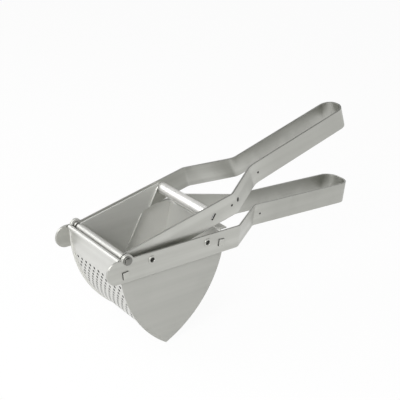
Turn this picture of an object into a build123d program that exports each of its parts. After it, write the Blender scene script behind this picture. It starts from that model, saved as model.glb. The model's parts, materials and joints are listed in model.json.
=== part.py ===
from build123d import *

import os
from math import acos, asin, cos, degrees, radians, sin, sqrt, tan

# Potato ricer: a V-shaped sieve basket on a strap handle, and a hinged strap lever with the presser

# Basket
rear_arc_radius = 124.5  # outside of the rear wall, swung from the hinge rod
front_arc_centre = 130.0  # how far behind the rod the sieve wall's arc is centred
basket_inner_width = 96.0
wall_sheet = 1.0
side_sheet = 1.0
side_plate_top = 0.5  # above the rod's axis
plate_margin = 2.0  # side plate beyond the walls

# Sieve holes, in staggered rows
hole_diameter = 3.6  # across the corners
hole_sides = 8
hole_pitch = 8.2
row_pitch = 6.1
plain_band = 34.0  # unpierced wall below the rod
plain_tip = 10.0  # unpierced wall before the point of the basket
plain_edge = 6.0  # unpierced wall beside the side plates

# Rolled bead, flange and clinched tabs of the walls
bead_radius = 2.2  # to the middle of the sheet
bead_drop = 0.5  # bead's axis below the rod's axis
bead_turn = 280.0
flange_width = 9.0
flange_bend = 2.5
flange_inset = 4.0  # flange end to side plate
tab_height = 8.0
tab_leg = 7.0
front_tab_drop = 16.0
rear_tab_drop = 12.0
tab_clearance = 0.2

# Handle straps
strap_width = 25.4
strap_thickness = 2.0
bend_radius = 9.0

# Lower handle, seen from the rod
lower_top = 1.5
lug_reach = 24.5
ear_radius = 6.6
lower_neck_start = 19.2  # behind the side plates
lower_neck = 50.3
lower_grip = 160.5
lower_grip_width = 37.0
lower_end_flat = 7.0  # straight part of the loop's end
lower_droop = 2.2
lower_lean = 4.5  # lean of the bends, tops away from the rod

# Lever, along its own arms
lever_angle = 13.5  # arms above the lower strap with the presser shut
lever_top = 5.1
arm_gap = 3.2  # arm to side plate
arm_heel = 14.0
lever_neck_start = 17.2  # behind the side plates
lever_neck = 50.8
lever_grip = 155.5
lever_grip_width = 31.0
lever_end_flat = 3.0
lever_grip_bend = 22.0  # radius of the second bend
lever_tilt = 4.0
lever_lean = 8.0  # lean of the bends, tops towards the rod

# Presser
presser_sheet = 1.5
cheek_sheet = 1.2
barrel_radius = 4.0
presser_front_gap = 1.5  # pressing plate to sieve wall
presser_side_gap = 1.0
presser_tip_gap = 1.2
presser_shoulder = 27.0  # depth at which the plate widens below the arms
weld_gap = 0.1
cheek_top = 3.4
cheek_ahead = 20.5  # of the rear wall
cheek_slope = 1.26  # fall of the free edge for each step back, along the arms
cheek_arm_gap = 1.0  # arms' lower edge to the cheek's step and splay
cheek_step = 8.5
splay_bend = 30.0

# Crossbar
crossbar_ahead = 14.5  # of the rear wall
crossbar_drop = 5.0
crossbar_radius = 6.5
crossbar_sheet = 1.2
crossbar_seam = 12.0
crossbar_seam_angle = 200.0
crossbar_tab_span = 62.0
crossbar_tab_angle = -45.0
crossbar_tab_recess = 1.7
slot_clearance = 0.6

# Rod and fasteners
rod_radius = 2.4
running_clearance = 0.05
washer_radius = 5.0
washer_thickness = 1.0
head_radius = 3.6
head_height = 1.8
head_bevel = 1.0
spacer_radius = 4.6
spacer_side_gap = 0.3
rivet_radius = 3.2
rivet_bore_radius = 2.6
rivet_bore_depth = 3.2
rivet_head_radius = 4.6
rivet_head_height = 0.8
rivet_head_bevel = 0.5
rivet_fit = 0.05
front_rivet_back = 29.8
rear_rivet_ahead = 22.9  # of the rear wall
rivet_drop = 7.0

# Dimples along the middle of the straps' outsides, beside their bends
dimple_depth = 1.0
dimple_radius = 1.3
arm_dimple_ahead = 3.8  # before the lever's first bend
grip_dimple_back = 9.0  # behind the second bend of either strap
neck_dimple_radius = 2.3
neck_dimple_back = 6.6  # behind the lever's first bend

# Derived sizes
presser_radius = front_arc_centre + barrel_radius
front_arc_radius = presser_radius + presser_front_gap + wall_sheet
plate_front_radius = front_arc_radius + plate_margin
plate_rear_radius = rear_arc_radius + plate_margin
inner_half = basket_inner_width / 2
plate_outside = inner_half + side_sheet
strap_outside = plate_outside + strap_thickness
arm_outside = inner_half - arm_gap
arm_inside = arm_outside - strap_thickness
rod_bore = rod_radius + running_clearance
lower_bottom = lower_top - strap_width
lower_middle = lower_top - strap_width / 2
lug_middle = strap_width / 2 - lug_reach
lower_first_bend = plate_rear_radius + lower_neck_start
lower_second_bend = lower_first_bend + lower_neck
lower_end = lower_second_bend + lower_grip
lower_fall = lower_grip * tan(radians(lower_droop))
lever_bottom = lever_top - strap_width
lever_middle = lever_top - strap_width / 2
lever_first_bend = plate_rear_radius + lever_neck_start
lever_second_bend = lever_first_bend + lever_neck
lever_end = lever_second_bend + lever_grip
lever_rise = lever_grip * tan(radians(lever_tilt))
cheek_rear = rear_arc_radius - cheek_ahead
crossbar_back = rear_arc_radius - crossbar_ahead
front_sheet_radius = front_arc_radius - wall_sheet / 2
rear_sheet_radius = rear_arc_radius - wall_sheet / 2
presser_sheet_radius = presser_radius - presser_sheet / 2
presser_half = inner_half - presser_side_gap
cheek_inside = arm_inside - cheek_sheet
barrel_half = cheek_inside - weld_gap
outer_box = basket_inner_width
rivet_places = {"front": front_rivet_back, "rear": rear_arc_radius - rear_rivet_ahead}


def arcs_meet(front_radius, rear_radius):
    """Distance behind the rod at which a front arc meets a rear arc."""
    return (rear_radius**2 - front_radius**2 + front_arc_centre**2) / (2 * front_arc_centre)


tip_back = arcs_meet(plate_front_radius, plate_rear_radius)
tip_drop = sqrt(plate_rear_radius**2 - tip_back**2)
seam_back = arcs_meet(front_arc_radius, rear_arc_radius)

# The origin is under the middle of the object, at the height of the basket's point
rod_back = (lug_reach - lower_end) / 2
rod = Vector(rod_back, 0, tip_drop)
rod_frame = Plane(rod)
side_view = Plane(rod, x_dir=(1, 0, 0), z_dir=(0, -1, 0))
arm_back = Vector(cos(radians(lever_angle)), 0, sin(radians(lever_angle)))
arm_up = Vector(-sin(radians(lever_angle)), 0, cos(radians(lever_angle)))
lever_frame = Plane(rod, x_dir=arm_back, z_dir=arm_up)
lever_side = Plane(rod, x_dir=arm_back, z_dir=(0, -1, 0))
lever_end_view = Plane(rod, x_dir=(0, 1, 0), z_dir=arm_back)
sides = {"left": -1, "right": 1}


def on_front_arc(radius, drop):
    """Distance behind the rod of a sieve wall arc at a depth below the rod."""
    return front_arc_centre - sqrt(radius**2 - drop**2)


front_tab = {
    "back": on_front_arc(front_sheet_radius, front_tab_drop),
    "drop": front_tab_drop,
    "lean": degrees(asin(front_tab_drop / front_sheet_radius)),
}
rear_tab = {
    "back": sqrt(rear_sheet_radius**2 - rear_tab_drop**2),
    "drop": rear_tab_drop,
    "lean": -degrees(asin(rear_tab_drop / rear_sheet_radius)),
}


def strap_path(start, half_width, first_bend, second_bend, end, grip_width, grip_bend, end_flat):
    """Middle of a handle strap seen from above: two arms, necked in to a grip loop."""
    grip_half = (grip_width - strap_thickness) / 2
    loop_end = end - strap_thickness / 2
    one_side = [
        (start, half_width),
        (first_bend, half_width),
        (second_bend, grip_half),
        (loop_end, grip_half),
    ]
    other_side = [(back, -across) for back, across in reversed(one_side)]
    corners = [bend_radius, grip_bend, grip_half - end_flat / 2]
    FilletPolyline(*one_side, *other_side, radius=corners + corners[::-1])


def add_clinched_tabs(tab, leg_way):
    """Tabs that pass through the side plates and the strap and fold flat on its outside."""
    for side in sides.values():
        way = -side
        with BuildSketch(side_view.offset(way * inner_half)) as neck:
            with Locations((tab["back"], -tab["drop"])):
                Rectangle(wall_sheet, tab_height, rotation=tab["lean"])
        extrude(neck.sketch, amount=way * (strap_outside + wall_sheet - inner_half))
        with BuildSketch(side_view.offset(way * strap_outside)) as leg:
            with Locations(Location((tab["back"], -tab["drop"]), tab["lean"])):
                with Locations((leg_way * (tab_leg - wall_sheet) / 2, 0)):
                    Rectangle(tab_leg, tab_height)
        extrude(leg.sketch, amount=way * wall_sheet)


def cut_basket_holes():
    """Holes for the rod, the rivets and the tabs, in the side view of a plate or strap."""
    Circle(rod_bore, mode=Mode.SUBTRACT)
    with Locations(*[(back, -rivet_drop) for back in rivet_places.values()]):
        Circle(rivet_radius + rivet_fit, mode=Mode.SUBTRACT)
    for tab in (front_tab, rear_tab):
        with Locations((tab["back"], -tab["drop"])):
            Rectangle(wall_sheet + 2 * tab_clearance, tab_height + 2 * tab_clearance,
                      rotation=tab["lean"], mode=Mode.SUBTRACT)


def cut_dimple(centre, outwards, radius):
    """A flat-bottomed dimple in the outside of a strap."""
    with BuildSketch(Plane(centre, z_dir=outwards)) as dimple:
        Circle(radius)
    extrude(dimple.sketch, amount=-dimple_depth, mode=Mode.SUBTRACT)


def export(part, name):
    part.label = name
    export_step(part, f"parts/{name}.step")


os.makedirs("parts", exist_ok=True)

# Side plates, with a margin outside both walls and an ear round the rod
top_front = on_front_arc(plate_front_radius, side_plate_top)
top_rear = sqrt(plate_rear_radius**2 - side_plate_top**2)
for name, side in sides.items():
    with BuildPart() as side_plate:
        with BuildSketch(side_view.offset(-side * inner_half)):
            with BuildLine():
                tip = (tip_back, -tip_drop)
                top_edge = Line((top_rear, side_plate_top), (top_front, side_plate_top))
                RadiusArc(top_edge @ 1, tip, -plate_front_radius)
                RadiusArc(tip, top_edge @ 0, -plate_rear_radius)
            make_face()
            Circle(ear_radius)
            cut_basket_holes()
        extrude(amount=-side * side_sheet)
    export(side_plate.part, f"side_plate_{name}")

# Sieve wall: a curved sheet with a bead curled outwards at the top, pierced in staggered rows
wall_seam = Plane(rod + Vector(seam_back, 0, 0), z_dir=(1, 0, 0))
bead_angle = 180 + degrees(asin(bead_drop / front_sheet_radius))
tip_angle = 180 + degrees(acos((front_arc_centre - seam_back) / front_sheet_radius))
mitre_overrun = degrees(wall_sheet / front_sheet_radius)
first_row_angle = 180 + degrees(asin(plain_band / front_sheet_radius))
row_step = degrees(row_pitch / front_sheet_radius)
row_count = int((tip_angle - degrees(plain_tip / front_sheet_radius) - first_row_angle) / row_step) + 1
column_count = int((basket_inner_width - 2 * plain_edge) / hole_pitch) + 1
row_edges = [first_row_angle + (row - 0.5) * row_step for row in range(row_count + 1)]


def draw_wall_face(radius):
    """One face of the sieve wall from its bead to its point, flat along each row of holes."""
    centre = Vector(front_arc_centre, 0)
    corners = [centre + Vector(radius, 0).rotate(Axis.Z, angle) for angle in row_edges]
    upper = CenterArc(centre, radius, bead_angle, row_edges[0] - bead_angle)
    Polyline(*corners)
    lower = CenterArc(centre, radius, row_edges[-1], tip_angle + mitre_overrun - row_edges[-1])
    return upper @ 0, lower @ 1


with BuildPart() as sieve_wall:
    with BuildSketch(side_view):
        with BuildLine():
            outer_top, outer_tip = draw_wall_face(front_arc_radius)
            inner_top, inner_tip = draw_wall_face(front_arc_radius - wall_sheet)
            Line(outer_top, inner_top)
            Line(outer_tip, inner_tip)
        make_face()
        with BuildLine():
            curl_start = (outer_top + inner_top) / 2
            JernArc(curl_start, (-bead_drop, front_arc_centre - curl_start.X), bead_radius, bead_turn)
        trace(line_width=wall_sheet)
    extrude(amount=inner_half, both=True)
    split(bisect_by=wall_seam, keep=Keep.BOTTOM)
    for row in range(row_count):
        angle = radians(first_row_angle + row * row_step)
        outwards = Vector(cos(angle), 0, sin(angle))
        place = rod + Vector(front_arc_centre, 0, 0) + outwards * front_sheet_radius
        with BuildSketch(Plane(place, x_dir=(0, 1, 0), z_dir=outwards)):
            with GridLocations(hole_pitch, 0, column_count - row % 2, 1):
                RegularPolygon(hole_diameter / 2, hole_sides)
        extrude(amount=wall_sheet, both=True, mode=Mode.SUBTRACT)
    add_clinched_tabs(front_tab, 1)
export(sieve_wall.part, "sieve_wall")

# Rear wall: a curved sheet swung from the rod, with a flange turned out along the top
flange_angle = degrees(asin(flange_bend / rear_sheet_radius))
rear_tip_angle = degrees(acos(seam_back / rear_sheet_radius))
with BuildPart() as rear_wall:
    with BuildSketch(side_view):
        with BuildLine():
            low_angle = -rear_tip_angle - mitre_overrun
            CenterArc((0, 0), rear_sheet_radius, low_angle, -flange_angle - low_angle)
        trace(line_width=wall_sheet)
    extrude(amount=inner_half, both=True)
    split(bisect_by=wall_seam, keep=Keep.TOP)
    with BuildSketch(side_view):
        with BuildLine():
            corner = PolarLine((0, 0), rear_sheet_radius, -flange_angle, mode=Mode.PRIVATE) @ 1
            bend = JernArc(corner, (flange_bend, corner.X), flange_bend, flange_angle - 90)
            Line(bend @ 1, bend @ 1 + (flange_width - flange_bend, 0))
        trace(line_width=wall_sheet)
    extrude(amount=inner_half - flange_inset, both=True)
    add_clinched_tabs(rear_tab, -1)
export(rear_wall.part, "rear_wall")

# Lower handle: one strap, its outline from above cut to its outline from the side
with BuildPart() as lower_handle:
    with BuildSketch(rod_frame.offset(lower_top - lower_fall)):
        with BuildLine():
            strap_path(
                start=-lug_reach,
                half_width=plate_outside + strap_thickness / 2,
                first_bend=lower_first_bend,
                second_bend=lower_second_bend,
                end=lower_end,
                grip_width=lower_grip_width,
                grip_bend=bend_radius,
                end_flat=lower_end_flat,
            )
        trace(line_width=strap_thickness)
    bend_axis = (tan(radians(lower_lean)), 0, 1)
    extrude(amount=2 * strap_width, dir=bend_axis, both=True)
    with BuildSketch(side_view):
        with BuildLine():
            Polyline(
                (lug_middle, lower_top),
                (lower_second_bend, lower_top),
                (lower_end, lower_top - lower_fall),
                (lower_end, lower_bottom - lower_fall),
                (lower_second_bend, lower_bottom),
                (lug_middle, lower_bottom),
                close=True,
            )
        make_face()
        with Locations((lug_middle, lower_top - strap_width / 2)):
            Circle(strap_width / 2)
        Circle(ear_radius)
        cut_basket_holes()
    extrude(amount=outer_box, both=True, mode=Mode.INTERSECT)
    for side in sides.values():
        grip_dimple = Vector(lower_second_bend + grip_dimple_back, side * lower_grip_width / 2, lower_middle)
        cut_dimple(rod + grip_dimple, (0, side, 0), dimple_radius)
export(lower_handle.part, "lower_handle")

# Upper handle: the lever's strap, with its arms inside the basket
slot_depth = crossbar_radius - (crossbar_radius - crossbar_sheet) * cos(radians(crossbar_tab_span / 2))
slot_length = 2 * crossbar_radius * sin(radians(crossbar_tab_span / 2))
slot_reach = crossbar_radius - slot_depth / 2
slot_place = (
    crossbar_back + slot_reach * cos(radians(crossbar_tab_angle)),
    slot_reach * sin(radians(crossbar_tab_angle)) - crossbar_drop,
)
with BuildPart() as upper_handle:
    with BuildSketch(lever_frame):
        with BuildLine():
            strap_path(
                start=-2 * lever_top,
                half_width=arm_outside - strap_thickness / 2,
                first_bend=lever_first_bend,
                second_bend=lever_second_bend,
                end=lever_end,
                grip_width=lever_grip_width,
                grip_bend=lever_grip_bend,
                end_flat=lever_end_flat,
            )
        trace(line_width=strap_thickness)
    bend_axis = arm_up - arm_back * tan(radians(lever_lean))
    extrude(amount=3 * strap_width, dir=bend_axis, both=True)
    with BuildSketch(lever_side):
        with BuildLine():
            FilletPolyline(
                (-lever_top, lever_top),
                (lever_second_bend, lever_top),
                (lever_end, lever_top + lever_rise),
                (lever_end, lever_bottom + lever_rise),
                (lever_second_bend, lever_bottom),
                (-lever_top, lever_bottom),
                radius=[lever_top, 0, 0, 0, 0, arm_heel],
                close=True,
            )
        make_face()
        Circle(rod_bore, mode=Mode.SUBTRACT)
        with Locations(slot_place):
            Rectangle(slot_depth + 2 * slot_clearance, slot_length + 2 * slot_clearance,
                      rotation=crossbar_tab_angle, mode=Mode.SUBTRACT)
    extrude(amount=outer_box, both=True, mode=Mode.INTERSECT)
    arm_line = arm_outside - strap_thickness / 2
    neck_fall = (arm_line - (lever_grip_width - strap_thickness) / 2) / lever_neck
    for side in sides.values():
        across = Vector(0, side, 0)
        middle = rod + arm_up * lever_middle
        arm_dimple = middle + arm_back * (lever_first_bend - arm_dimple_ahead) + across * arm_outside
        cut_dimple(arm_dimple, across, dimple_radius)
        grip_face = across * lever_grip_width / 2
        grip_dimple = middle + arm_back * (lever_second_bend + grip_dimple_back) + grip_face
        cut_dimple(grip_dimple, across, dimple_radius)
        neck_way = arm_back - across * neck_fall
        outwards = (bend_axis.cross(neck_way) * side).normalized()
        neck_start = rod + arm_back * lever_first_bend + across * arm_line + bend_axis * lever_middle
        neck_dimple = neck_start + neck_way * neck_dimple_back + outwards * strap_thickness / 2
        cut_dimple(neck_dimple, outwards, neck_dimple_radius)
export(upper_handle.part, "upper_handle")

# Presser plate: a barrel on the rod and a curved sheet that lies along the sieve wall
shoulder_angle = 180 + degrees(asin(presser_shoulder / presser_sheet_radius))
presser_reach = rear_arc_radius - wall_sheet - presser_tip_gap
presser_tip_back = arcs_meet(presser_radius, presser_reach)
presser_tip_angle = 180 + degrees(acos((front_arc_centre - presser_tip_back) / presser_radius))
with BuildPart() as presser_plate:
    with BuildSketch(side_view):
        with BuildLine():
            CenterArc((front_arc_centre, 0), presser_sheet_radius, 180, shoulder_angle - 180)
        trace(line_width=presser_sheet)
        Circle(barrel_radius)
        Circle(rod_bore, mode=Mode.SUBTRACT)
    extrude(amount=barrel_half, both=True)
    with BuildSketch(side_view):
        with BuildLine():
            sweep_down = presser_tip_angle - shoulder_angle
            CenterArc((front_arc_centre, 0), presser_sheet_radius, shoulder_angle, sweep_down)
        trace(line_width=presser_sheet)
    extrude(amount=presser_half, both=True)
export(presser_plate.part, "presser_plate")

# Presser cheeks: gussets on the arms' inner faces, splayed outwards below them
splay_start = lever_bottom - cheek_arm_gap
upper_line = arm_inside - cheek_sheet / 2
lower_line = presser_half - cheek_sheet / 2
free_edge_low = cheek_rear + splay_start / cheek_slope
cheek_foot = -(tip_drop + strap_width)
step_foot = free_edge_low - cheek_step + (cheek_foot - splay_start) / cheek_slope
for name, side in sides.items():
    with BuildPart() as cheek:
        with BuildSketch(lever_end_view):
            with BuildLine():
                FilletPolyline(
                    (side * upper_line, cheek_top),
                    (side * upper_line, splay_start),
                    (side * lower_line, cheek_foot),
                    radius=splay_bend,
                )
            trace(line_width=cheek_sheet)
        extrude(amount=2 * cheek_rear, both=True)
        with BuildSketch(lever_side):
            with BuildLine():
                Polyline(
                    (-barrel_radius - lever_top, cheek_top),
                    (cheek_rear + cheek_top / cheek_slope, cheek_top),
                    (free_edge_low, splay_start),
                    (free_edge_low - cheek_step, splay_start),
                    (step_foot, cheek_foot),
                    (step_foot - cheek_rear, cheek_foot),
                    close=True,
                )
            make_face()
        extrude(amount=inner_half, both=True, mode=Mode.INTERSECT)
        with BuildSketch(side_view):
            with Locations((front_arc_centre, 0)):
                Circle(presser_radius - presser_sheet - weld_gap)
            Circle(barrel_radius, mode=Mode.SUBTRACT)
        extrude(amount=inner_half, both=True, mode=Mode.INTERSECT)
    export(cheek.part, f"presser_cheek_{name}")

# Crossbar: a tube rolled from sheet, with a tab through each arm
with BuildPart() as crossbar:
    with BuildSketch(lever_side):
        with BuildLine():
            CenterArc((crossbar_back, -crossbar_drop), crossbar_radius - crossbar_sheet / 2,
                      crossbar_seam_angle, 360 - crossbar_seam)
        trace(line_width=crossbar_sheet)
    extrude(amount=arm_inside, both=True)
    for side in sides.values():
        with BuildSketch(lever_side.offset(-side * arm_inside)):
            with BuildLine():
                CenterArc((crossbar_back, -crossbar_drop), crossbar_radius - crossbar_sheet / 2,
                          crossbar_tab_angle - crossbar_tab_span / 2, crossbar_tab_span)
            trace(line_width=crossbar_sheet)
        extrude(amount=-side * (strap_thickness - crossbar_tab_recess))
export(crossbar.part, "crossbar")

# Hinge rod, with a peened head beyond the washer at each end
head_face = strap_outside + washer_thickness
with BuildPart(rod_frame) as hinge_rod:
    Cylinder(rod_radius, 2 * head_face, rotation=(90, 0, 0))
    with Locations(*[(0, side * (head_face + head_height / 2), 0) for side in sides.values()]):
        Cylinder(head_radius, head_height, rotation=(90, 0, 0))
    rims = edges().filter_by(GeomType.CIRCLE).group_by(Axis.Y)
    chamfer(rims[0] + rims[-1], head_bevel)
export(hinge_rod.part, "hinge_rod")

# Washers under the rod's heads, and spacers between the side plates and the lever's arms
spacer_length = arm_gap - spacer_side_gap
for name, side in sides.items():
    with BuildPart(rod_frame) as rod_washer:
        with Locations((0, side * (strap_outside + washer_thickness / 2), 0)):
            Cylinder(washer_radius, washer_thickness, rotation=(90, 0, 0))
            Cylinder(rod_bore, washer_thickness, rotation=(90, 0, 0), mode=Mode.SUBTRACT)
    export(rod_washer.part, f"rod_washer_{name}")
    with BuildPart(rod_frame) as rod_spacer:
        with Locations((0, side * (inner_half - spacer_length / 2), 0)):
            Cylinder(spacer_radius, spacer_length, rotation=(90, 0, 0))
            Cylinder(rod_bore, spacer_length, rotation=(90, 0, 0), mode=Mode.SUBTRACT)
    export(rod_spacer.part, f"rod_spacer_{name}")

# Basket rivets: half hollow, flush inside the basket, with a thin head outside the strap
rivet_grip = side_sheet + strap_thickness
for place, back in rivet_places.items():
    for name, side in sides.items():
        seat = Plane(rod + Vector(back, side * strap_outside, -rivet_drop), z_dir=(0, side, 0))
        with BuildPart(seat) as rivet:
            Cylinder(rivet_radius, rivet_grip, align=(Align.CENTER, Align.CENTER, Align.MAX))
            Cylinder(rivet_head_radius, rivet_head_height, align=(Align.CENTER, Align.CENTER, Align.MIN))
            head_rim = edges().filter_by(GeomType.CIRCLE).sort_by(Axis((0, 0, 0), (0, side, 0)))[-1]
            chamfer(head_rim, rivet_head_bevel)
            with Locations((0, 0, rivet_head_height)):
                Cylinder(rivet_bore_radius, rivet_bore_depth, align=(Align.CENTER, Align.CENTER, Align.MAX),
                         mode=Mode.SUBTRACT)
        export(rivet.part, f"basket_rivet_{place}_{name}")
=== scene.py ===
import json
from math import cos, hypot, radians, sin

import bmesh
import bpy
from mathutils import Matrix, Vector


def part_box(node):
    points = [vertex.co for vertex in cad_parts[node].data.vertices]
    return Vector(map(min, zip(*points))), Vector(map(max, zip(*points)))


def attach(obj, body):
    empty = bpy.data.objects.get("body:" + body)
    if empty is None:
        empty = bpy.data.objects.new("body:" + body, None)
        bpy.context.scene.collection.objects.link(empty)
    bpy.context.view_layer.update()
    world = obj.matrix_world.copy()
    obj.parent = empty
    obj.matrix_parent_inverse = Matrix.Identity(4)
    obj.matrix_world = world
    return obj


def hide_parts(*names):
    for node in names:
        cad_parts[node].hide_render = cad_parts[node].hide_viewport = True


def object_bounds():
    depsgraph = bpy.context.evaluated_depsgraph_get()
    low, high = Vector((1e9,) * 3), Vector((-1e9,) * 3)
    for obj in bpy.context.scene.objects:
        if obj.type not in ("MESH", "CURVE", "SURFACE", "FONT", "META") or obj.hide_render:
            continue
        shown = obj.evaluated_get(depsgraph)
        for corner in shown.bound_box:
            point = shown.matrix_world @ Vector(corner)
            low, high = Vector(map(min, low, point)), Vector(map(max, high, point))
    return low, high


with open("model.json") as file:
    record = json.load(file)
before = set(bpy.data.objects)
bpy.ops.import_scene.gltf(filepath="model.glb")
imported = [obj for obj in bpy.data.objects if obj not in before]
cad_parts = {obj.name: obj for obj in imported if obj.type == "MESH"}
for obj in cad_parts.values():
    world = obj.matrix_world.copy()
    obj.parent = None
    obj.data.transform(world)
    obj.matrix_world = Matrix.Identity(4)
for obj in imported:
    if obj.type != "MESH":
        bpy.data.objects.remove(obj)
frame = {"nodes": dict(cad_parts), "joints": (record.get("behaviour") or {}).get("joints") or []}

cad_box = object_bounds()
nodes = frame["nodes"]
hinge = Vector(frame["joints"][0]["pos_m"])

# All sizes are in metres. Radii of the curved sheets: the presser's middle from the sieve's centre,
# and the rear wall's middle from the hinge
SIEVE_CENTRE = hinge + Vector((0.130, 0, 0))
PRESSER_MIDDLE = 0.13325
REAR_MIDDLE = 0.124

# Radii from the hinge between which the presser's barrel passes into its plate
BARREL_END = 0.009
PLATE_START = 0.016

# Top of the sieve's holes, up from the hinge
HOLES_TOP = -0.030

# Distances out from the middle of the ricer
MIDDLE = (0, 0, 0)
PLATE_MIDDLE = 0.0485
STRAP_INSIDE = 0.049
STRAP_OUTSIDE = 0.051
BAR_END = 0.0427

# Places on the straps: back from the hinge along the strap, and up from there
ARM_ANGLE = radians(13.5)
LOWER_BEND = 0.196
LOWER_MIDDLE = -0.0112
LEVER_BEND = 0.1945
LEVER_MIDDLE = -0.0076
DIMPLE_PAST_BEND = 0.009
ARM_DIMPLE_BACK = 0.1399
NECK_DIMPLE_BACK = 0.1514
SLOT_BACK = 0.1139
SLOT_UP = -0.0089
GRIP_START = 0.175
GRIP_FULL = 0.235

# Radii of what is cut or pressed into the straps
SLOT_REACH = 0.0045
DIMPLE_RADIUS = 0.0013
NECK_DIMPLE_RADIUS = 0.0023

# Directions that count in a distance
ALONG = (1, 0, 0)
ACROSS = (0, 1, 0)
SIDE_ON = (1, 0, 1)

# Camera, placed from the hinge: azimuth, elevation and roll of the photograph, and its distance
CAMERA_AZIMUTH = radians(39.19)
CAMERA_ELEVATION = radians(23.8)
CAMERA_ROLL = radians(2.96)
CAMERA_OFFSET = Vector((0.10288, 0.04291, 0.91085))
CAMERA_LENS = 79.445
CAMERA_SENSOR = 36
CAMERA_REACH = 50


# Node helpers


def add_node(tree, kind, place, **values):
    """A shader node with its settings and unlinked inputs filled in."""
    node = tree.nodes.new(kind)
    node.location = place
    for name, value in values.items():
        if hasattr(node, name):
            setattr(node, name, value)
        else:
            node.inputs[name].default_value = value
    return node


def new_group(name, inputs, outputs):
    """An empty shader node group with named sockets."""
    group = bpy.data.node_groups.new(name, "ShaderNodeTree")
    for label, kind, default in inputs:
        socket = group.interface.new_socket(label, in_out="INPUT", socket_type=kind)
        if default is not None:
            socket.default_value = default
    for label, kind in outputs:
        group.interface.new_socket(label, in_out="OUTPUT", socket_type=kind)
    start = add_node(group, "NodeGroupInput", (-900, 0))
    end = add_node(group, "NodeGroupOutput", (700, 0))
    return group, start, end


def ramp(tree, place, value, low, high):
    """A mask that rises smoothly from 0 where the value is low to 1 where it is high."""
    node = add_node(tree, "ShaderNodeMapRange", place, interpolation_type="SMOOTHSTEP")
    node.inputs["From Min"].default_value = low
    node.inputs["From Max"].default_value = high
    tree.links.new(value, node.inputs["Value"])
    return node.outputs["Result"]


def combine(tree, place, operation, *values):
    """A sum worked on sockets and numbers."""
    node = add_node(tree, "ShaderNodeMath", place, operation=operation)
    for socket, value in zip(node.inputs, values):
        if isinstance(value, float):
            socket.default_value = value
        else:
            tree.links.new(value, socket)
    return node.outputs["Value"]


def mix_colour(tree, place, low, high):
    """A mix from one colour to another."""
    node = add_node(tree, "ShaderNodeMix", place, data_type="RGBA", blend_type="MIX")
    node.inputs["A"].default_value = low
    node.inputs["B"].default_value = high
    return node


# Fine parallel scratches of rolled and brushed steel


def make_brushed_grain():
    group, start, end = new_group(
        "Brushed grain",
        [
            ("Vector", "NodeSocketVector", None),
            ("Fine", "NodeSocketFloat", 900.0),
            ("Broad", "NodeSocketFloat", 120.0),
            ("Stretch", "NodeSocketFloat", 0.02),
            ("Sideways", "NodeSocketFloat", 1.0),
        ],
        [("Grain", "NodeSocketFloat"), ("Streak", "NodeSocketFloat")],
    )
    link = group.links.new
    stretch = add_node(group, "ShaderNodeCombineXYZ", (-700, -120), Z=1.0)
    along = add_node(group, "ShaderNodeVectorMath", (-520, 0), operation="MULTIPLY")
    fine = add_node(group, "ShaderNodeTexNoise", (-300, 120), Detail=3.0, Roughness=0.65)
    broad = add_node(group, "ShaderNodeTexNoise", (-300, -160), Detail=2.0, Roughness=0.5)
    link(start.outputs["Stretch"], stretch.inputs["X"])
    link(start.outputs["Sideways"], stretch.inputs["Y"])
    link(start.outputs["Vector"], along.inputs[0])
    link(stretch.outputs[0], along.inputs[1])
    link(along.outputs[0], fine.inputs["Vector"])
    link(along.outputs[0], broad.inputs["Vector"])
    link(start.outputs["Fine"], fine.inputs["Scale"])
    link(start.outputs["Broad"], broad.inputs["Scale"])
    link(fine.outputs["Fac"], end.inputs["Grain"])
    link(broad.outputs["Fac"], end.inputs["Streak"])
    return group


# Handling marks: soft cloudy patches that dull the finish

CLEAN = 0.42
MARKED = 0.68


def make_handling():
    group, start, end = new_group(
        "Handling marks",
        [("Vector", "NodeSocketVector", None), ("Size", "NodeSocketFloat", 30.0)],
        [("Mark", "NodeSocketFloat")],
    )
    link = group.links.new
    cloud = add_node(group, "ShaderNodeTexNoise", (-500, 0), Detail=4.0, Roughness=0.55,
                     Distortion=0.6)
    link(start.outputs["Vector"], cloud.inputs["Vector"])
    link(start.outputs["Size"], cloud.inputs["Scale"])
    link(ramp(group, (-250, 0), cloud.outputs["Fac"], CLEAN, MARKED), end.inputs["Mark"])
    return group


# Broken edges: where a cut or bent edge has been rounded over by tumbling. The mask goes by how far
# the rounded edge agrees with the flat face, and carries each steel's painted edge tone: highlight
# where lighter, shade where darker

EDGE_RADIUS = 0.0006
FLAT = 0.995
ROUNDED = 0.85


def make_broken_edge():
    group, start, end = new_group(
        "Broken edge",
        [("Radius", "NodeSocketFloat", EDGE_RADIUS)],
        [("Edge", "NodeSocketFloat"), ("Normal", "NodeSocketVector")],
    )
    link = group.links.new
    rounded = add_node(group, "ShaderNodeBevel", (-600, 0), samples=6)
    flat = add_node(group, "ShaderNodeNewGeometry", (-600, -200))
    agree = add_node(group, "ShaderNodeVectorMath", (-380, -80), operation="DOT_PRODUCT")
    link(start.outputs["Radius"], rounded.inputs["Radius"])
    link(rounded.outputs["Normal"], agree.inputs[0])
    link(flat.outputs["True Normal"], agree.inputs[1])
    link(ramp(group, (-160, -80), agree.outputs["Value"], FLAT, ROUNDED), end.inputs["Edge"])
    link(rounded.outputs["Normal"], end.inputs["Normal"])
    return group


brushed_grain = make_brushed_grain()
handling = make_handling()
broken_edge = make_broken_edge()


# Steel finishes: what all of them share, as changes of roughness and the depth of the grain

RUBBED = -0.04
DULLED = 0.07
SCRATCHED = 0.12
GRAIN_STRENGTH = 0.35
GRAIN_DEPTH = 0.00002


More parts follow.
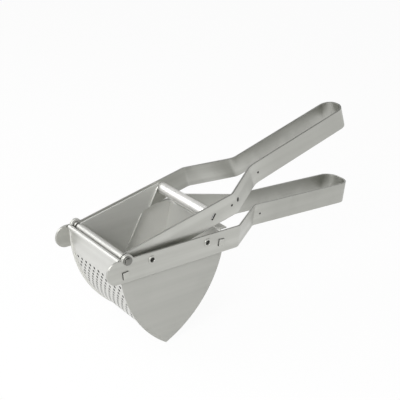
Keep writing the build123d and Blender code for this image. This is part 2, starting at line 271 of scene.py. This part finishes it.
def steel(name, base, dull, edge, rough, metal=1.0, grain_turn=(0, 0, 0),
          edge_radius=EDGE_RADIUS, band=0.5, sideways=1.0):
    """A satin steel: grain along X after the turn, rolled bands, handling marks, broken edges in a
    painted edge tone.
    """
    material = bpy.data.materials.new(name)
    material.use_nodes = True
    tree = material.node_tree
    link = tree.links.new
    shader = tree.nodes["Principled BSDF"]
    shader.location = (900, 0)
    shader.inputs["Metallic"].default_value = metal
    coords = add_node(tree, "ShaderNodeTexCoord", (-1300, 0), name="Coords")
    turn = add_node(tree, "ShaderNodeMapping", (-1100, 0), Rotation=grain_turn)
    grain = add_node(tree, "ShaderNodeGroup", (-850, 150), node_tree=brushed_grain,
                     Sideways=sideways)
    marks = add_node(tree, "ShaderNodeGroup", (-850, -150), node_tree=handling)
    edges = add_node(tree, "ShaderNodeGroup", (-850, -350), node_tree=broken_edge,
                     Radius=edge_radius)
    link(coords.outputs["Object"], turn.inputs["Vector"])
    link(turn.outputs["Vector"], grain.inputs["Vector"])
    link(coords.outputs["Object"], marks.inputs["Vector"])
    tone = mix_colour(tree, (-500, 300), dull, base)
    # The edge tone over the broken edges is painted light: a highlight where it is lighter than the
    # steel, shade where it is darker
    painted_edge_tone = mix_colour(tree, (0, 300), base, edge)
    streak = ramp(tree, (-650, 300), grain.outputs["Streak"], 0.5 - band, 0.5 + band)
    link(streak, tone.inputs["Factor"])
    link(tone.outputs["Result"], painted_edge_tone.inputs["A"])
    link(edges.outputs["Edge"], painted_edge_tone.inputs["Factor"])
    link(painted_edge_tone.outputs["Result"], shader.inputs["Base Color"])
    worn = add_node(tree, "ShaderNodeMapRange", (-500, -100))
    worn.inputs["To Min"].default_value = rough + RUBBED
    worn.inputs["To Max"].default_value = rough + DULLED
    link(marks.outputs["Mark"], worn.inputs["Value"])
    scratch = combine(tree, (-350, -200), "MULTIPLY", grain.outputs["Grain"], SCRATCHED)
    brushed = combine(tree, (-200, -100), "ADD", worn.outputs["Result"], scratch)
    link(brushed, shader.inputs["Roughness"])
    bump = add_node(tree, "ShaderNodeBump", (350, -250), Strength=GRAIN_STRENGTH,
                    Distance=GRAIN_DEPTH)
    link(grain.outputs["Grain"], bump.inputs["Height"])
    link(edges.outputs["Normal"], bump.inputs["Normal"])
    link(bump.outputs["Normal"], shader.inputs["Normal"])
    return material


def lay_over(material, mask, colour):
    """Another tone over the steel where the mask is 1."""
    tree = material.node_tree
    base = tree.nodes["Principled BSDF"].inputs["Base Color"]
    over = mix_colour(tree, (300, 400), colour, colour)
    tree.links.new(base.links[0].from_socket, over.inputs["A"])
    tree.links.new(mask, over.inputs["Factor"])
    tree.links.new(over.outputs["Result"], base)


# Masks that tell one part of a piece from another. Blends are the widths over which tones change

SHEET_BLEND = 0.0002
FACE_BLEND = 0.0004
LINE_BLEND = 0.0001
TAB_BLEND = 0.0005
HOLES_BLEND = 0.001
SQUARE_ON = 0.6
EDGE_ON = 0.4
# How strongly the grips' painted shade is laid on
GRIP_SHADE_SHARE = 0.7


def offset_from(material, centre, keep):
    """The way from a centre to a surface point, in the directions that count."""
    tree = material.node_tree
    offset = add_node(tree, "ShaderNodeVectorMath", (-1100, 600), operation="SUBTRACT")
    offset.inputs[1].default_value = centre
    flat = add_node(tree, "ShaderNodeVectorMath", (-900, 600), operation="MULTIPLY")
    flat.inputs[1].default_value = keep
    tree.links.new(tree.nodes["Coords"].outputs["Object"], offset.inputs[0])
    tree.links.new(offset.outputs["Vector"], flat.inputs[0])
    return flat.outputs["Vector"]


def distance_from(material, centre, keep):
    """How far a surface point is from a centre, in the directions that count."""
    tree = material.node_tree
    length = add_node(tree, "ShaderNodeVectorMath", (-700, 600), operation="LENGTH")
    tree.links.new(offset_from(material, centre, keep), length.inputs[0])
    return length.outputs["Value"]


def edge_on(tree, facing):
    """Mask of faces that stand edge-on to a direction, from how squarely they face it."""
    square = combine(tree, (-300, 1000), "ABSOLUTE", facing)
    return ramp(tree, (-100, 1000), square, SQUARE_ON, EDGE_ON)


def punched_walls(material):
    """Mask of the walls of the sieve's punched holes, which stand across the sheet's own curve."""
    tree = material.node_tree
    link = tree.links.new
    offset = offset_from(material, SIEVE_CENTRE, SIDE_ON)
    outwards = add_node(tree, "ShaderNodeVectorMath", (-700, 900), operation="NORMALIZE")
    surface = add_node(tree, "ShaderNodeNewGeometry", (-700, 1100))
    facing = add_node(tree, "ShaderNodeVectorMath", (-500, 1000), operation="DOT_PRODUCT")
    parts = add_node(tree, "ShaderNodeSeparateXYZ", (-700, 750))
    link(offset, outwards.inputs[0])
    link(outwards.outputs["Vector"], facing.inputs[0])
    link(surface.outputs["True Normal"], facing.inputs[1])
    link(offset, parts.inputs[0])
    walls = edge_on(tree, facing.outputs["Value"])
    pierced = ramp(tree, (-300, 800), parts.outputs["Z"], HOLES_TOP + HOLES_BLEND, HOLES_TOP)
    return combine(tree, (100, 900), "MULTIPLY", walls, pierced)


def outside_strap(material):
    """Mask of the clinched tabs, which come out through the strap."""
    return ramp(material.node_tree, (-500, 1300), distance_from(material, MIDDLE, ACROSS),
                STRAP_INSIDE, STRAP_INSIDE + TAB_BLEND)


def facing_out(material):
    """How squarely a surface faces away from the middle of the ricer, from -1 to 1."""
    tree = material.node_tree
    link = tree.links.new
    place = add_node(tree, "ShaderNodeSeparateXYZ", (-1100, 1500))
    surface = add_node(tree, "ShaderNodeNewGeometry", (-1100, 1700))
    way = add_node(tree, "ShaderNodeSeparateXYZ", (-900, 1700))
    link(tree.nodes["Coords"].outputs["Object"], place.inputs[0])
    link(surface.outputs["True Normal"], way.inputs[0])
    side = combine(tree, (-900, 1500), "SIGN", place.outputs["Y"])
    return combine(tree, (-700, 1600), "MULTIPLY", side, way.outputs["Y"])


def paint_wall_shade(material, opening):
    """Painted shade on the walls of an opening that is cut through the side of a piece."""
    tree = material.node_tree
    walls = edge_on(tree, facing_out(material))
    lay_over(material, combine(tree, (100, 1400), "MULTIPLY", opening, walls), PAINTED_SHADE)


def near_spot(material, spot, radius):
    """Mask of what lies within a radius of a spot, seen from the side."""
    return ramp(material.node_tree, (-500, 1500), distance_from(material, spot, SIDE_ON),
                radius + LINE_BLEND, radius - LINE_BLEND)


def paint_dimple_shade(material, spot, radius):
    """Painted shade in a dimple in the outside of a strap."""
    tree = material.node_tree
    outer = ramp(tree, (-500, 1700), facing_out(material), -SQUARE_ON, -EDGE_ON)
    dimple_shade = combine(tree, (-200, 1600), "MULTIPLY", near_spot(material, spot, radius), outer)
    lay_over(material, dimple_shade, PAINTED_SHADE)


def paint_grip_shade(material):
    """Painted shade on the grip behind the neck, standing in for its dark reflection."""
    tree = material.node_tree
    behind = ramp(tree, (-500, 1900), distance_from(material, hinge, ALONG), GRIP_START, GRIP_FULL)
    lay_over(material, combine(tree, (-300, 1900), "MULTIPLY", behind, GRIP_SHADE_SHARE), GRIP_SHADE)


def lever_point(back, up):
    """A point along the shut lever's arms, and up from them, as a place in the frame."""
    along = Vector((cos(ARM_ANGLE), 0, sin(ARM_ANGLE)))
    upright = Vector((-sin(ARM_ANGLE), 0, cos(ARM_ANGLE)))
    return hinge + back * along + up * upright


# Tones of the steel

LIGHT_STEEL = (0.53, 0.532, 0.498, 1)
MID_STEEL = (0.455, 0.457, 0.425, 1)
# Painted highlight along the broken edges
EDGE_HIGHLIGHT = (0.90, 0.90, 0.88, 1)
# Painted shade for the walls of holes, slots and tabs, for dimples, for the crossbar's ends and for
# the rivets' bores
PAINTED_SHADE = (0.08, 0.08, 0.074, 1)
STRAP_LIGHT = (0.57, 0.572, 0.538, 1)
STRAP_DULL = (0.48, 0.482, 0.45, 1)
# Painted highlight along the straps' edges, and painted shade along the lever's edges
STRAP_EDGE_HIGHLIGHT = (0.72, 0.72, 0.69, 1)
LEVER_EDGE_SHADE = (0.26, 0.26, 0.242, 1)
# Painted shade on the grips, standing in for their dark reflection
GRIP_SHADE = (0.40, 0.402, 0.373, 1)
# Painted light: the lighter inside of the side plates and the rear wall
INSIDE_PAINTED_LIGHT = (0.74, 0.74, 0.71, 1)
INSIDE_PAINTED_LIGHT_MID = (0.66, 0.66, 0.632, 1)
PRESSER_LIGHT = (0.64, 0.64, 0.612, 1)
PRESSER_MID = (0.57, 0.57, 0.545, 1)
# Painted shade on the presser's pressing face
PRESSING_SHADE = (0.26, 0.26, 0.245, 1)
CHEEK_LIGHT = (0.62, 0.622, 0.592, 1)
CHEEK_MID = (0.54, 0.542, 0.515, 1)
PLATE_LIGHT = (0.47, 0.472, 0.442, 1)
PLATE_MID = (0.41, 0.412, 0.385, 1)
WALL_LIGHT = (0.72, 0.72, 0.692, 1)
WALL_MID = (0.63, 0.63, 0.605, 1)
# Crossbar: its bright drawn finish, lightened further as a painted highlight
BAR_HIGHLIGHT = (0.88, 0.875, 0.85, 1)
BAR_HIGHLIGHT_MID = (0.80, 0.795, 0.77, 1)
PIN_LIGHT = (0.27, 0.27, 0.25, 1)
PIN_MID = (0.22, 0.22, 0.205, 1)
# Painted highlight on the cheeks' lips
LIP_HIGHLIGHT = (0.88, 0.88, 0.855, 1)
LIP_HIGHLIGHT_MID = (0.80, 0.80, 0.775, 1)
# Painted shade in the rivets' bores
BORE_SHADE_MID = (0.05, 0.05, 0.047, 1)

# Turns of the grain, and the edges of small and thin pieces

GRAIN_ACROSS = (0, 0, radians(90))
GRAIN_UPRIGHT = (0, radians(90), 0)
GRAIN_ALONG_ARM = (0, ARM_ANGLE, 0)
SMALL_EDGE = 0.0003
BORE_EDGE = 0.0002
# The cheeks' wider edge band widens the painted highlight along their free edges
CHEEK_EDGE = 0.0010

# Hopper: side plates and rear wall lighter inside, which is painted light, and clinched tabs with
# painted shade on their sheared sides

plate_steel = steel("Rolled plate steel", PLATE_LIGHT, PLATE_MID, EDGE_HIGHLIGHT, rough=0.42, metal=0.4)
# Painted light on the inside of the side plates
inside = ramp(plate_steel.node_tree, (-500, 600), distance_from(plate_steel, MIDDLE, ACROSS),
              PLATE_MIDDLE, PLATE_MIDDLE - SHEET_BLEND)
lay_over(plate_steel, inside, INSIDE_PAINTED_LIGHT)

rear_steel = steel("Scoured rear wall steel", LIGHT_STEEL, MID_STEEL, EDGE_HIGHLIGHT, rough=0.46,
                   metal=0.4, grain_turn=GRAIN_UPRIGHT)
# Painted light on the inside of the rear wall
inside = ramp(rear_steel.node_tree, (-500, 600), distance_from(rear_steel, hinge, SIDE_ON),
              REAR_MIDDLE, REAR_MIDDLE - SHEET_BLEND)
lay_over(rear_steel, inside, INSIDE_PAINTED_LIGHT_MID)

sieve_steel = steel("Pierced sheet steel", WALL_LIGHT, WALL_MID, EDGE_HIGHLIGHT, rough=0.40, metal=0.8,
                    grain_turn=GRAIN_ACROSS)
# Painted shade on the walls of the punched holes
lay_over(sieve_steel, punched_walls(sieve_steel), PAINTED_SHADE)

for material in (sieve_steel, rear_steel):
    tabs = outside_strap(material)
    lay_over(material, tabs, LIGHT_STEEL)
    # Painted shade on the tabs' sheared sides
    paint_wall_shade(material, tabs)

# Presser: bright inside, and painted shade on the face that presses, below the barrel

cheek_steel = steel("Scoured cheek steel", CHEEK_LIGHT, CHEEK_MID, EDGE_HIGHLIGHT, rough=0.46,
                    metal=0.4, edge_radius=CHEEK_EDGE)

presser_steel = steel("Pressing plate steel", PRESSER_LIGHT, PRESSER_MID, EDGE_HIGHLIGHT, rough=0.42,
                      metal=0.8, grain_turn=GRAIN_ACROSS)
front_face = ramp(presser_steel.node_tree, (-500, 600),
                  distance_from(presser_steel, SIEVE_CENTRE, SIDE_ON),
                  PRESSER_MIDDLE, PRESSER_MIDDLE + FACE_BLEND)
below_barrel = ramp(presser_steel.node_tree, (-500, 800),
                    distance_from(presser_steel, hinge, SIDE_ON), BARREL_END, PLATE_START)
# Painted shade on the pressing face, behind the sieve wall
shaded_pressing_face = combine(presser_steel.node_tree, (-300, 700), "MULTIPLY", front_face, below_barrel)
lay_over(presser_steel, shaded_pressing_face, PRESSING_SHADE)

# Straps: painted shade on the grips for their dark reflection, in the dimples, and on the walls of
# the slots for the crossbar's tabs

strap_steel = steel("Satin strap steel", STRAP_LIGHT, STRAP_DULL, STRAP_EDGE_HIGHLIGHT, rough=0.36,
                    band=0.3, sideways=0.05)
paint_grip_shade(strap_steel)
grip_dimple = hinge + Vector((LOWER_BEND + DIMPLE_PAST_BEND, 0, LOWER_MIDDLE))
paint_dimple_shade(strap_steel, grip_dimple, DIMPLE_RADIUS)

lever_steel = steel("Satin lever steel", STRAP_LIGHT, STRAP_DULL, LEVER_EDGE_SHADE, rough=0.30,
                    band=0.3, sideways=0.05, grain_turn=GRAIN_ALONG_ARM)
paint_grip_shade(lever_steel)
for back, radius in (
    (ARM_DIMPLE_BACK, DIMPLE_RADIUS),
    (NECK_DIMPLE_BACK, NECK_DIMPLE_RADIUS),
    (LEVER_BEND + DIMPLE_PAST_BEND, DIMPLE_RADIUS),
):
    paint_dimple_shade(lever_steel, lever_point(back, LEVER_MIDDLE), radius)
# Painted shade on the walls of the slot for the crossbar's tab
paint_wall_shade(lever_steel, near_spot(lever_steel, lever_point(SLOT_BACK, SLOT_UP), SLOT_REACH))

# Crossbar, its bright drawn finish lightened further as a painted highlight, with painted shade on
# its ends in the slots, and the small pieces

bar_highlight_steel = steel("Drawn steel with painted highlight", BAR_HIGHLIGHT, BAR_HIGHLIGHT_MID, EDGE_HIGHLIGHT, rough=0.26, metal=0.6,
                  grain_turn=GRAIN_ACROSS, edge_radius=SMALL_EDGE)
# Painted shade on the crossbar's ends, where they sit in the lever's slots
bar_end_shade = ramp(bar_highlight_steel.node_tree, (-500, 1300), distance_from(bar_highlight_steel, MIDDLE, ACROSS),
                    BAR_END - LINE_BLEND, BAR_END)
lay_over(bar_highlight_steel, bar_end_shade, PAINTED_SHADE)

pin_steel = steel("Satin pin steel", PIN_LIGHT, PIN_MID, EDGE_HIGHLIGHT, rough=0.30,
                  edge_radius=SMALL_EDGE)
rivet_steel = steel("Rolled rivet steel", STRAP_LIGHT, STRAP_DULL, EDGE_HIGHLIGHT, rough=0.36,
                    edge_radius=SMALL_EDGE)
bore_shade_steel = steel("Bore steel with painted shade", PAINTED_SHADE, BORE_SHADE_MID, MID_STEEL, rough=0.5,
                   edge_radius=BORE_EDGE)
# Painted highlight on the cheeks' lips
lip_highlight_steel = steel("Lip steel with painted highlight", LIP_HIGHLIGHT, LIP_HIGHLIGHT_MID, EDGE_HIGHLIGHT, rough=0.28,
                  edge_radius=SMALL_EDGE)

FINISHES = {
    plate_steel: ["side_plate_left", "side_plate_right"],
    cheek_steel: ["presser_cheek_left", "presser_cheek_right"],
    rear_steel: ["rear_wall"],
    presser_steel: ["presser_plate"],
    sieve_steel: ["sieve_wall"],
    strap_steel: ["lower_handle"],
    lever_steel: ["upper_handle"],
    bar_highlight_steel: ["crossbar"],
    pin_steel: ["rod_washer_left", "rod_washer_right", "rod_spacer_left", "rod_spacer_right"],
}
for material, names in FINISHES.items():
    for name in names:
        nodes[name].data.materials.clear()
        nodes[name].data.materials.append(material)


# New pieces

SHARP_CORNER = radians(40)


def finish_piece(name, shape, materials, body):
    """A shaped mesh as a piece that rides on a body, smooth but for its sharp corners."""
    bmesh.ops.recalc_face_normals(shape, faces=shape.faces)
    mesh = bpy.data.meshes.new(name)
    shape.to_mesh(mesh)
    shape.free()
    mesh.shade_smooth()
    mesh.set_sharp_from_angle(angle=SHARP_CORNER)
    for material in materials:
        mesh.materials.append(material)
    piece = bpy.data.objects.new(name, mesh)
    bpy.context.scene.collection.objects.link(piece)
    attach(piece, body)
    return piece


# Turned pieces: the hollow rivets and the hinge rod

TURN_STEPS = 40
RIM_SEGMENTS = 5
MERGED = 0.000001
NEAR = 0.00002


def turn_piece(name, profile, rims, skin, flats, place, way, stands_for):
    """A turned piece: its (radius, reach) points spun round Y, its rims rounded over.

    A face that lies flat at one of the reaches in flats has the finish given there, not the skin.
    """
    shape = bmesh.new()
    points = [shape.verts.new((radius, way * reach, 0)) for radius, reach in profile]
    for first, second in zip(points, points[1:]):
        shape.edges.new((first, second))
    bmesh.ops.spin(shape, geom=shape.verts[:] + shape.edges[:], cent=(0, 0, 0), axis=(0, 1, 0),
                   angle=radians(360), steps=TURN_STEPS, use_merge=True)
    bmesh.ops.remove_doubles(shape, verts=shape.verts, dist=MERGED)
    for radius, reach, rounding in rims:
        rim = [
            edge for edge in shape.edges
            if all(abs(hypot(v.co.x, v.co.z) - radius) < NEAR and abs(v.co.y - way * reach) < NEAR
                   for v in edge.verts)
        ]
        bmesh.ops.bevel(shape, geom=rim, offset=rounding, offset_type="OFFSET", affect="EDGES",
                        segments=RIM_SEGMENTS, profile=0.5, material=-1)
    bmesh.ops.remove_doubles(shape, verts=shape.verts, dist=MERGED)
    for number, reach in enumerate(flats, start=1):
        for face in shape.faces:
            if all(abs(v.co.y - way * reach) < NEAR for v in face.verts):
                face.material_index = number
    bmesh.ops.translate(shape, verts=shape.verts, vec=place)
    piece = finish_piece(name, shape, [skin, *flats.values()], "basket")
    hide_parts(stands_for)


RIVET_BORE = 0.0026
RIVET_SHANK = 0.0032
RIVET_HEAD = 0.0046
RIVET_TOP = 0.0008
RIVET_FLOOR = -0.0024
RIVET_FOOT = -0.003
RIVET_PROFILE = [
    (0.0, RIVET_FLOOR),
    (RIVET_BORE, RIVET_FLOOR),
    (RIVET_BORE, RIVET_TOP),
    (RIVET_HEAD, RIVET_TOP),
    (RIVET_HEAD, 0.0),
    (RIVET_SHANK, 0.0),
    (RIVET_SHANK, RIVET_FOOT),
    (0.0, RIVET_FOOT),
]
BORE_ROUNDING = 0.0007
HEAD_ROUNDING = 0.0006
RIVET_RIMS = [(RIVET_BORE, RIVET_TOP, BORE_ROUNDING), (RIVET_HEAD, RIVET_TOP, HEAD_ROUNDING)]
# The floor of each rivet's bore takes the painted shade
RIVET_FLATS = {RIVET_FLOOR: bore_shade_steel, RIVET_FOOT: plate_steel}

for place_name in ("front", "rear"):
    for side_name, way in (("left", -1), ("right", 1)):
        node = f"basket_rivet_{place_name}_{side_name}"
        low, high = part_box(node)
        middle = (Vector(low) + Vector(high)) / 2
        seat = Vector((middle.x, way * STRAP_OUTSIDE, middle.z))
        turn_piece(f"rolled_rivet_{place_name}_{side_name}", RIVET_PROFILE, RIVET_RIMS,
                   rivet_steel, RIVET_FLATS, seat, way, node)

ROD_RADIUS = 0.0024
ROD_HEAD = 0.0036
ROD_CROWN = 0.0026
ROD_UNDER_HEAD = 0.052
ROD_SHOULDER = 0.0530
ROD_END = 0.0538
ROD_HALF = [
    (0.0, ROD_END),
    (ROD_CROWN, ROD_END),
    (ROD_HEAD, ROD_SHOULDER),
    (ROD_HEAD, ROD_UNDER_HEAD),
    (ROD_RADIUS, ROD_UNDER_HEAD),
]
ROD_PROFILE = [(radius, -reach) for radius, reach in ROD_HALF] + ROD_HALF[::-1]
CROWN_ROUNDING = 0.0009
ROD_RIMS = [(ROD_CROWN, -ROD_END, CROWN_ROUNDING), (ROD_CROWN, ROD_END, CROWN_ROUNDING)]
turn_piece("peened_rod", ROD_PROFILE, ROD_RIMS, pin_steel, {}, hinge, 1, "hinge_rod")


# Turned lips, in a painted highlight: the free edge of each presser cheek, folded in above its
# step, and narrower below it.
# Each has its two ends on the lever, how far out the cheek's inside is there, and its width

LIP_SHEET = 0.0012
LIP_TAPER = 0.0012
LIP_ROUNDING = 0.0003
LIP_SEGMENTS = 3
LIP_OFF_CHEEK = 0.00002
LIPS = {
    "cheek_lip": {
        "top": lever_point(back=0.1045, up=0.0006),
        "top_inside": 0.0416,
        "foot": lever_point(back=0.0875, up=-0.0208),
        "foot_inside": 0.0416,
        "width": 0.0020,
    },
    "cheek_lower_lip": {
        "top": lever_point(back=0.0776, up=-0.0225),
        "top_inside": 0.0416,
        "foot": lever_point(back=0.0185, up=-0.0970),
        "foot_inside": 0.0444,
        "width": 0.0012,
    },
}


def turn_lip(name, way, top, top_inside, foot, foot_inside, width):
    """A lip: its section at the foot drawn up the free edge, ends tapered, edges rounded."""
    high = top + Vector((0, way * (top_inside - LIP_OFF_CHEEK), 0))
    low = foot + Vector((0, way * (foot_inside - LIP_OFF_CHEEK), 0))
    along = (high - low).normalized()
    ahead = Vector((-along.z, 0, along.x)) * LIP_SHEET
    inwards = Vector((0, -way * width, 0))
    corners = (low, low + ahead, low + ahead + inwards, low + inwards)
    shape = bmesh.new()
    section = [shape.verts.new(corner) for corner in corners]
    end = shape.faces.new(section)
    drawn = bmesh.ops.extrude_face_region(shape, geom=[end], use_keep_orig=True)
    far_section = [item for item in drawn["geom"] if isinstance(item, bmesh.types.BMVert)]
    bmesh.ops.translate(shape, verts=far_section, vec=high - low)
    for ends, cheek, pull in ((section, foot_inside, along), (far_section, top_inside, -along)):
        rim = [v for v in ends if abs(v.co.y) < cheek - width / 2]
        bmesh.ops.translate(shape, verts=rim, vec=pull * LIP_TAPER)
    bmesh.ops.bevel(shape, geom=shape.edges[:], offset=LIP_ROUNDING, offset_type="OFFSET",
                    affect="EDGES", segments=LIP_SEGMENTS, profile=0.5, material=-1)
    finish_piece(name, shape, [lip_highlight_steel], "lever")


for lip_name, measures in LIPS.items():
    turn_lip(f"{lip_name}_left", -1, **measures)
    turn_lip(f"{lip_name}_right", 1, **measures)


# Stage: floor, camera, light

FLOOR_TONE = (0.86, 0.86, 0.85, 1)
FLOOR_ROUGH = 0.9
FLOOR_WHITE = 0.94
FLOOR_SIZE = 6.0
FLOOR_DROP = 0.0005
SWEEP_TONE = (1, 1, 1, 1)
ROOM_TONE = (0.34, 0.34, 0.34, 1)
SWEEP_TOP = 0.15
ROOM_START = 0.55
LAMPS = {
    "overhead": {"place": (-0.1, 0.1, 1.3), "aim": (0, 0, 0.1), "side": 1.0, "watts": 3},
    "left": {"place": (-0.8, 0.75, 0.9), "aim": (-0.1, 0, 0.1), "side": 0.9, "watts": 6},
    "front": {"place": (-0.95, -0.5, 0.85), "aim": (-0.1, 0, 0.1), "side": 0.5, "watts": 9},
}


def make_floor():
    """A pale floor that looks white but keeps the shadow."""
    material = bpy.data.materials.new("Pale floor")
    material.use_nodes = True
    tree = material.node_tree
    link = tree.links.new
    shader = tree.nodes["Principled BSDF"]
    shader.inputs["Base Color"].default_value = FLOOR_TONE
    shader.inputs["Roughness"].default_value = FLOOR_ROUGH
    path = add_node(tree, "ShaderNodeLightPath", (-600, 300))
    seen = combine(tree, (-400, 300), "MAXIMUM", path.outputs["Is Camera Ray"],
                   path.outputs["Is Glossy Ray"])
    seen = combine(tree, (-250, 300), "MAXIMUM", seen, path.outputs["Is Transmission Ray"])
    share = combine(tree, (-100, 300), "MULTIPLY", seen, FLOOR_WHITE)
    white = add_node(tree, "ShaderNodeEmission", (0, -200), Strength=1.0)
    blend = add_node(tree, "ShaderNodeMixShader", (300, 100))
    link(share, blend.inputs["Fac"])
    link(shader.outputs[0], blend.inputs[1])
    link(white.outputs[0], blend.inputs[2])
    link(blend.outputs[0], tree.nodes["Material Output"].inputs["Surface"])
    mesh = bpy.data.meshes.new("floor")
    sheet = bmesh.new()
    bmesh.ops.create_grid(sheet, x_segments=1, y_segments=1, size=FLOOR_SIZE)
    sheet.to_mesh(mesh)
    sheet.free()
    mesh.materials.append(material)
    floor = bpy.data.objects.new("floor", mesh)
    floor.location.z = cad_box[0][2] - FLOOR_DROP
    bpy.context.scene.collection.objects.link(floor)


def make_camera():
    """The photograph's view of the ricer."""
    level = Vector((cos(CAMERA_AZIMUTH), -sin(CAMERA_AZIMUTH), 0))
    towards = Vector((-sin(CAMERA_AZIMUTH), -cos(CAMERA_AZIMUTH), 0))
    back = towards * cos(CAMERA_ELEVATION) + Vector((0, 0, sin(CAMERA_ELEVATION)))
    upright = back.cross(level)
    right = level * cos(CAMERA_ROLL) + upright * sin(CAMERA_ROLL)
    up = upright * cos(CAMERA_ROLL) - level * sin(CAMERA_ROLL)
    turn = Matrix((right, up, back)).transposed()
    data = bpy.data.cameras.new("camera")
    data.lens = CAMERA_LENS
    data.sensor_width = CAMERA_SENSOR
    data.clip_end = CAMERA_REACH
    camera = bpy.data.objects.new("camera", data)
    camera.matrix_world = Matrix.Translation(hinge + turn @ CAMERA_OFFSET) @ turn.to_4x4()
    bpy.context.scene.collection.objects.link(camera)
    bpy.context.scene.camera = camera


def make_softbox(name, place, aim, side, watts):
    """A square soft lamp that looks at a point."""
    data = bpy.data.lights.new(name, "AREA")
    data.shape = "SQUARE"
    data.size = side
    data.energy = watts
    lamp = bpy.data.objects.new(name, data)
    lamp.location = place
    lamp.rotation_euler = (Vector(aim) - Vector(place)).to_track_quat("-Z", "Y").to_euler()
    bpy.context.scene.collection.objects.link(lamp)


def make_world():
    """A studio: a white sweep round the horizon, and a dimmer room above it."""
    world = bpy.data.worlds.new("Studio")
    bpy.context.scene.world = world
    world.use_nodes = True
    tree = world.node_tree
    link = tree.links.new
    room = tree.nodes["Background"]
    room.inputs["Strength"].default_value = 1.0
    way = add_node(tree, "ShaderNodeTexCoord", (-900, 0))
    parts = add_node(tree, "ShaderNodeSeparateXYZ", (-700, 0))
    sweep = mix_colour(tree, (-250, 0), SWEEP_TONE, ROOM_TONE)
    above = ramp(tree, (-500, 0), parts.outputs["Z"], SWEEP_TOP, ROOM_START)
    link(way.outputs["Generated"], parts.inputs[0])
    link(above, sweep.inputs["Factor"])
    link(sweep.outputs["Result"], room.inputs["Color"])


make_floor()
make_camera()
for lamp_name, lamp in LAMPS.items():
    make_softbox(lamp_name, **lamp)
make_world()
bpy.context.scene.view_settings.view_transform = "Standard"
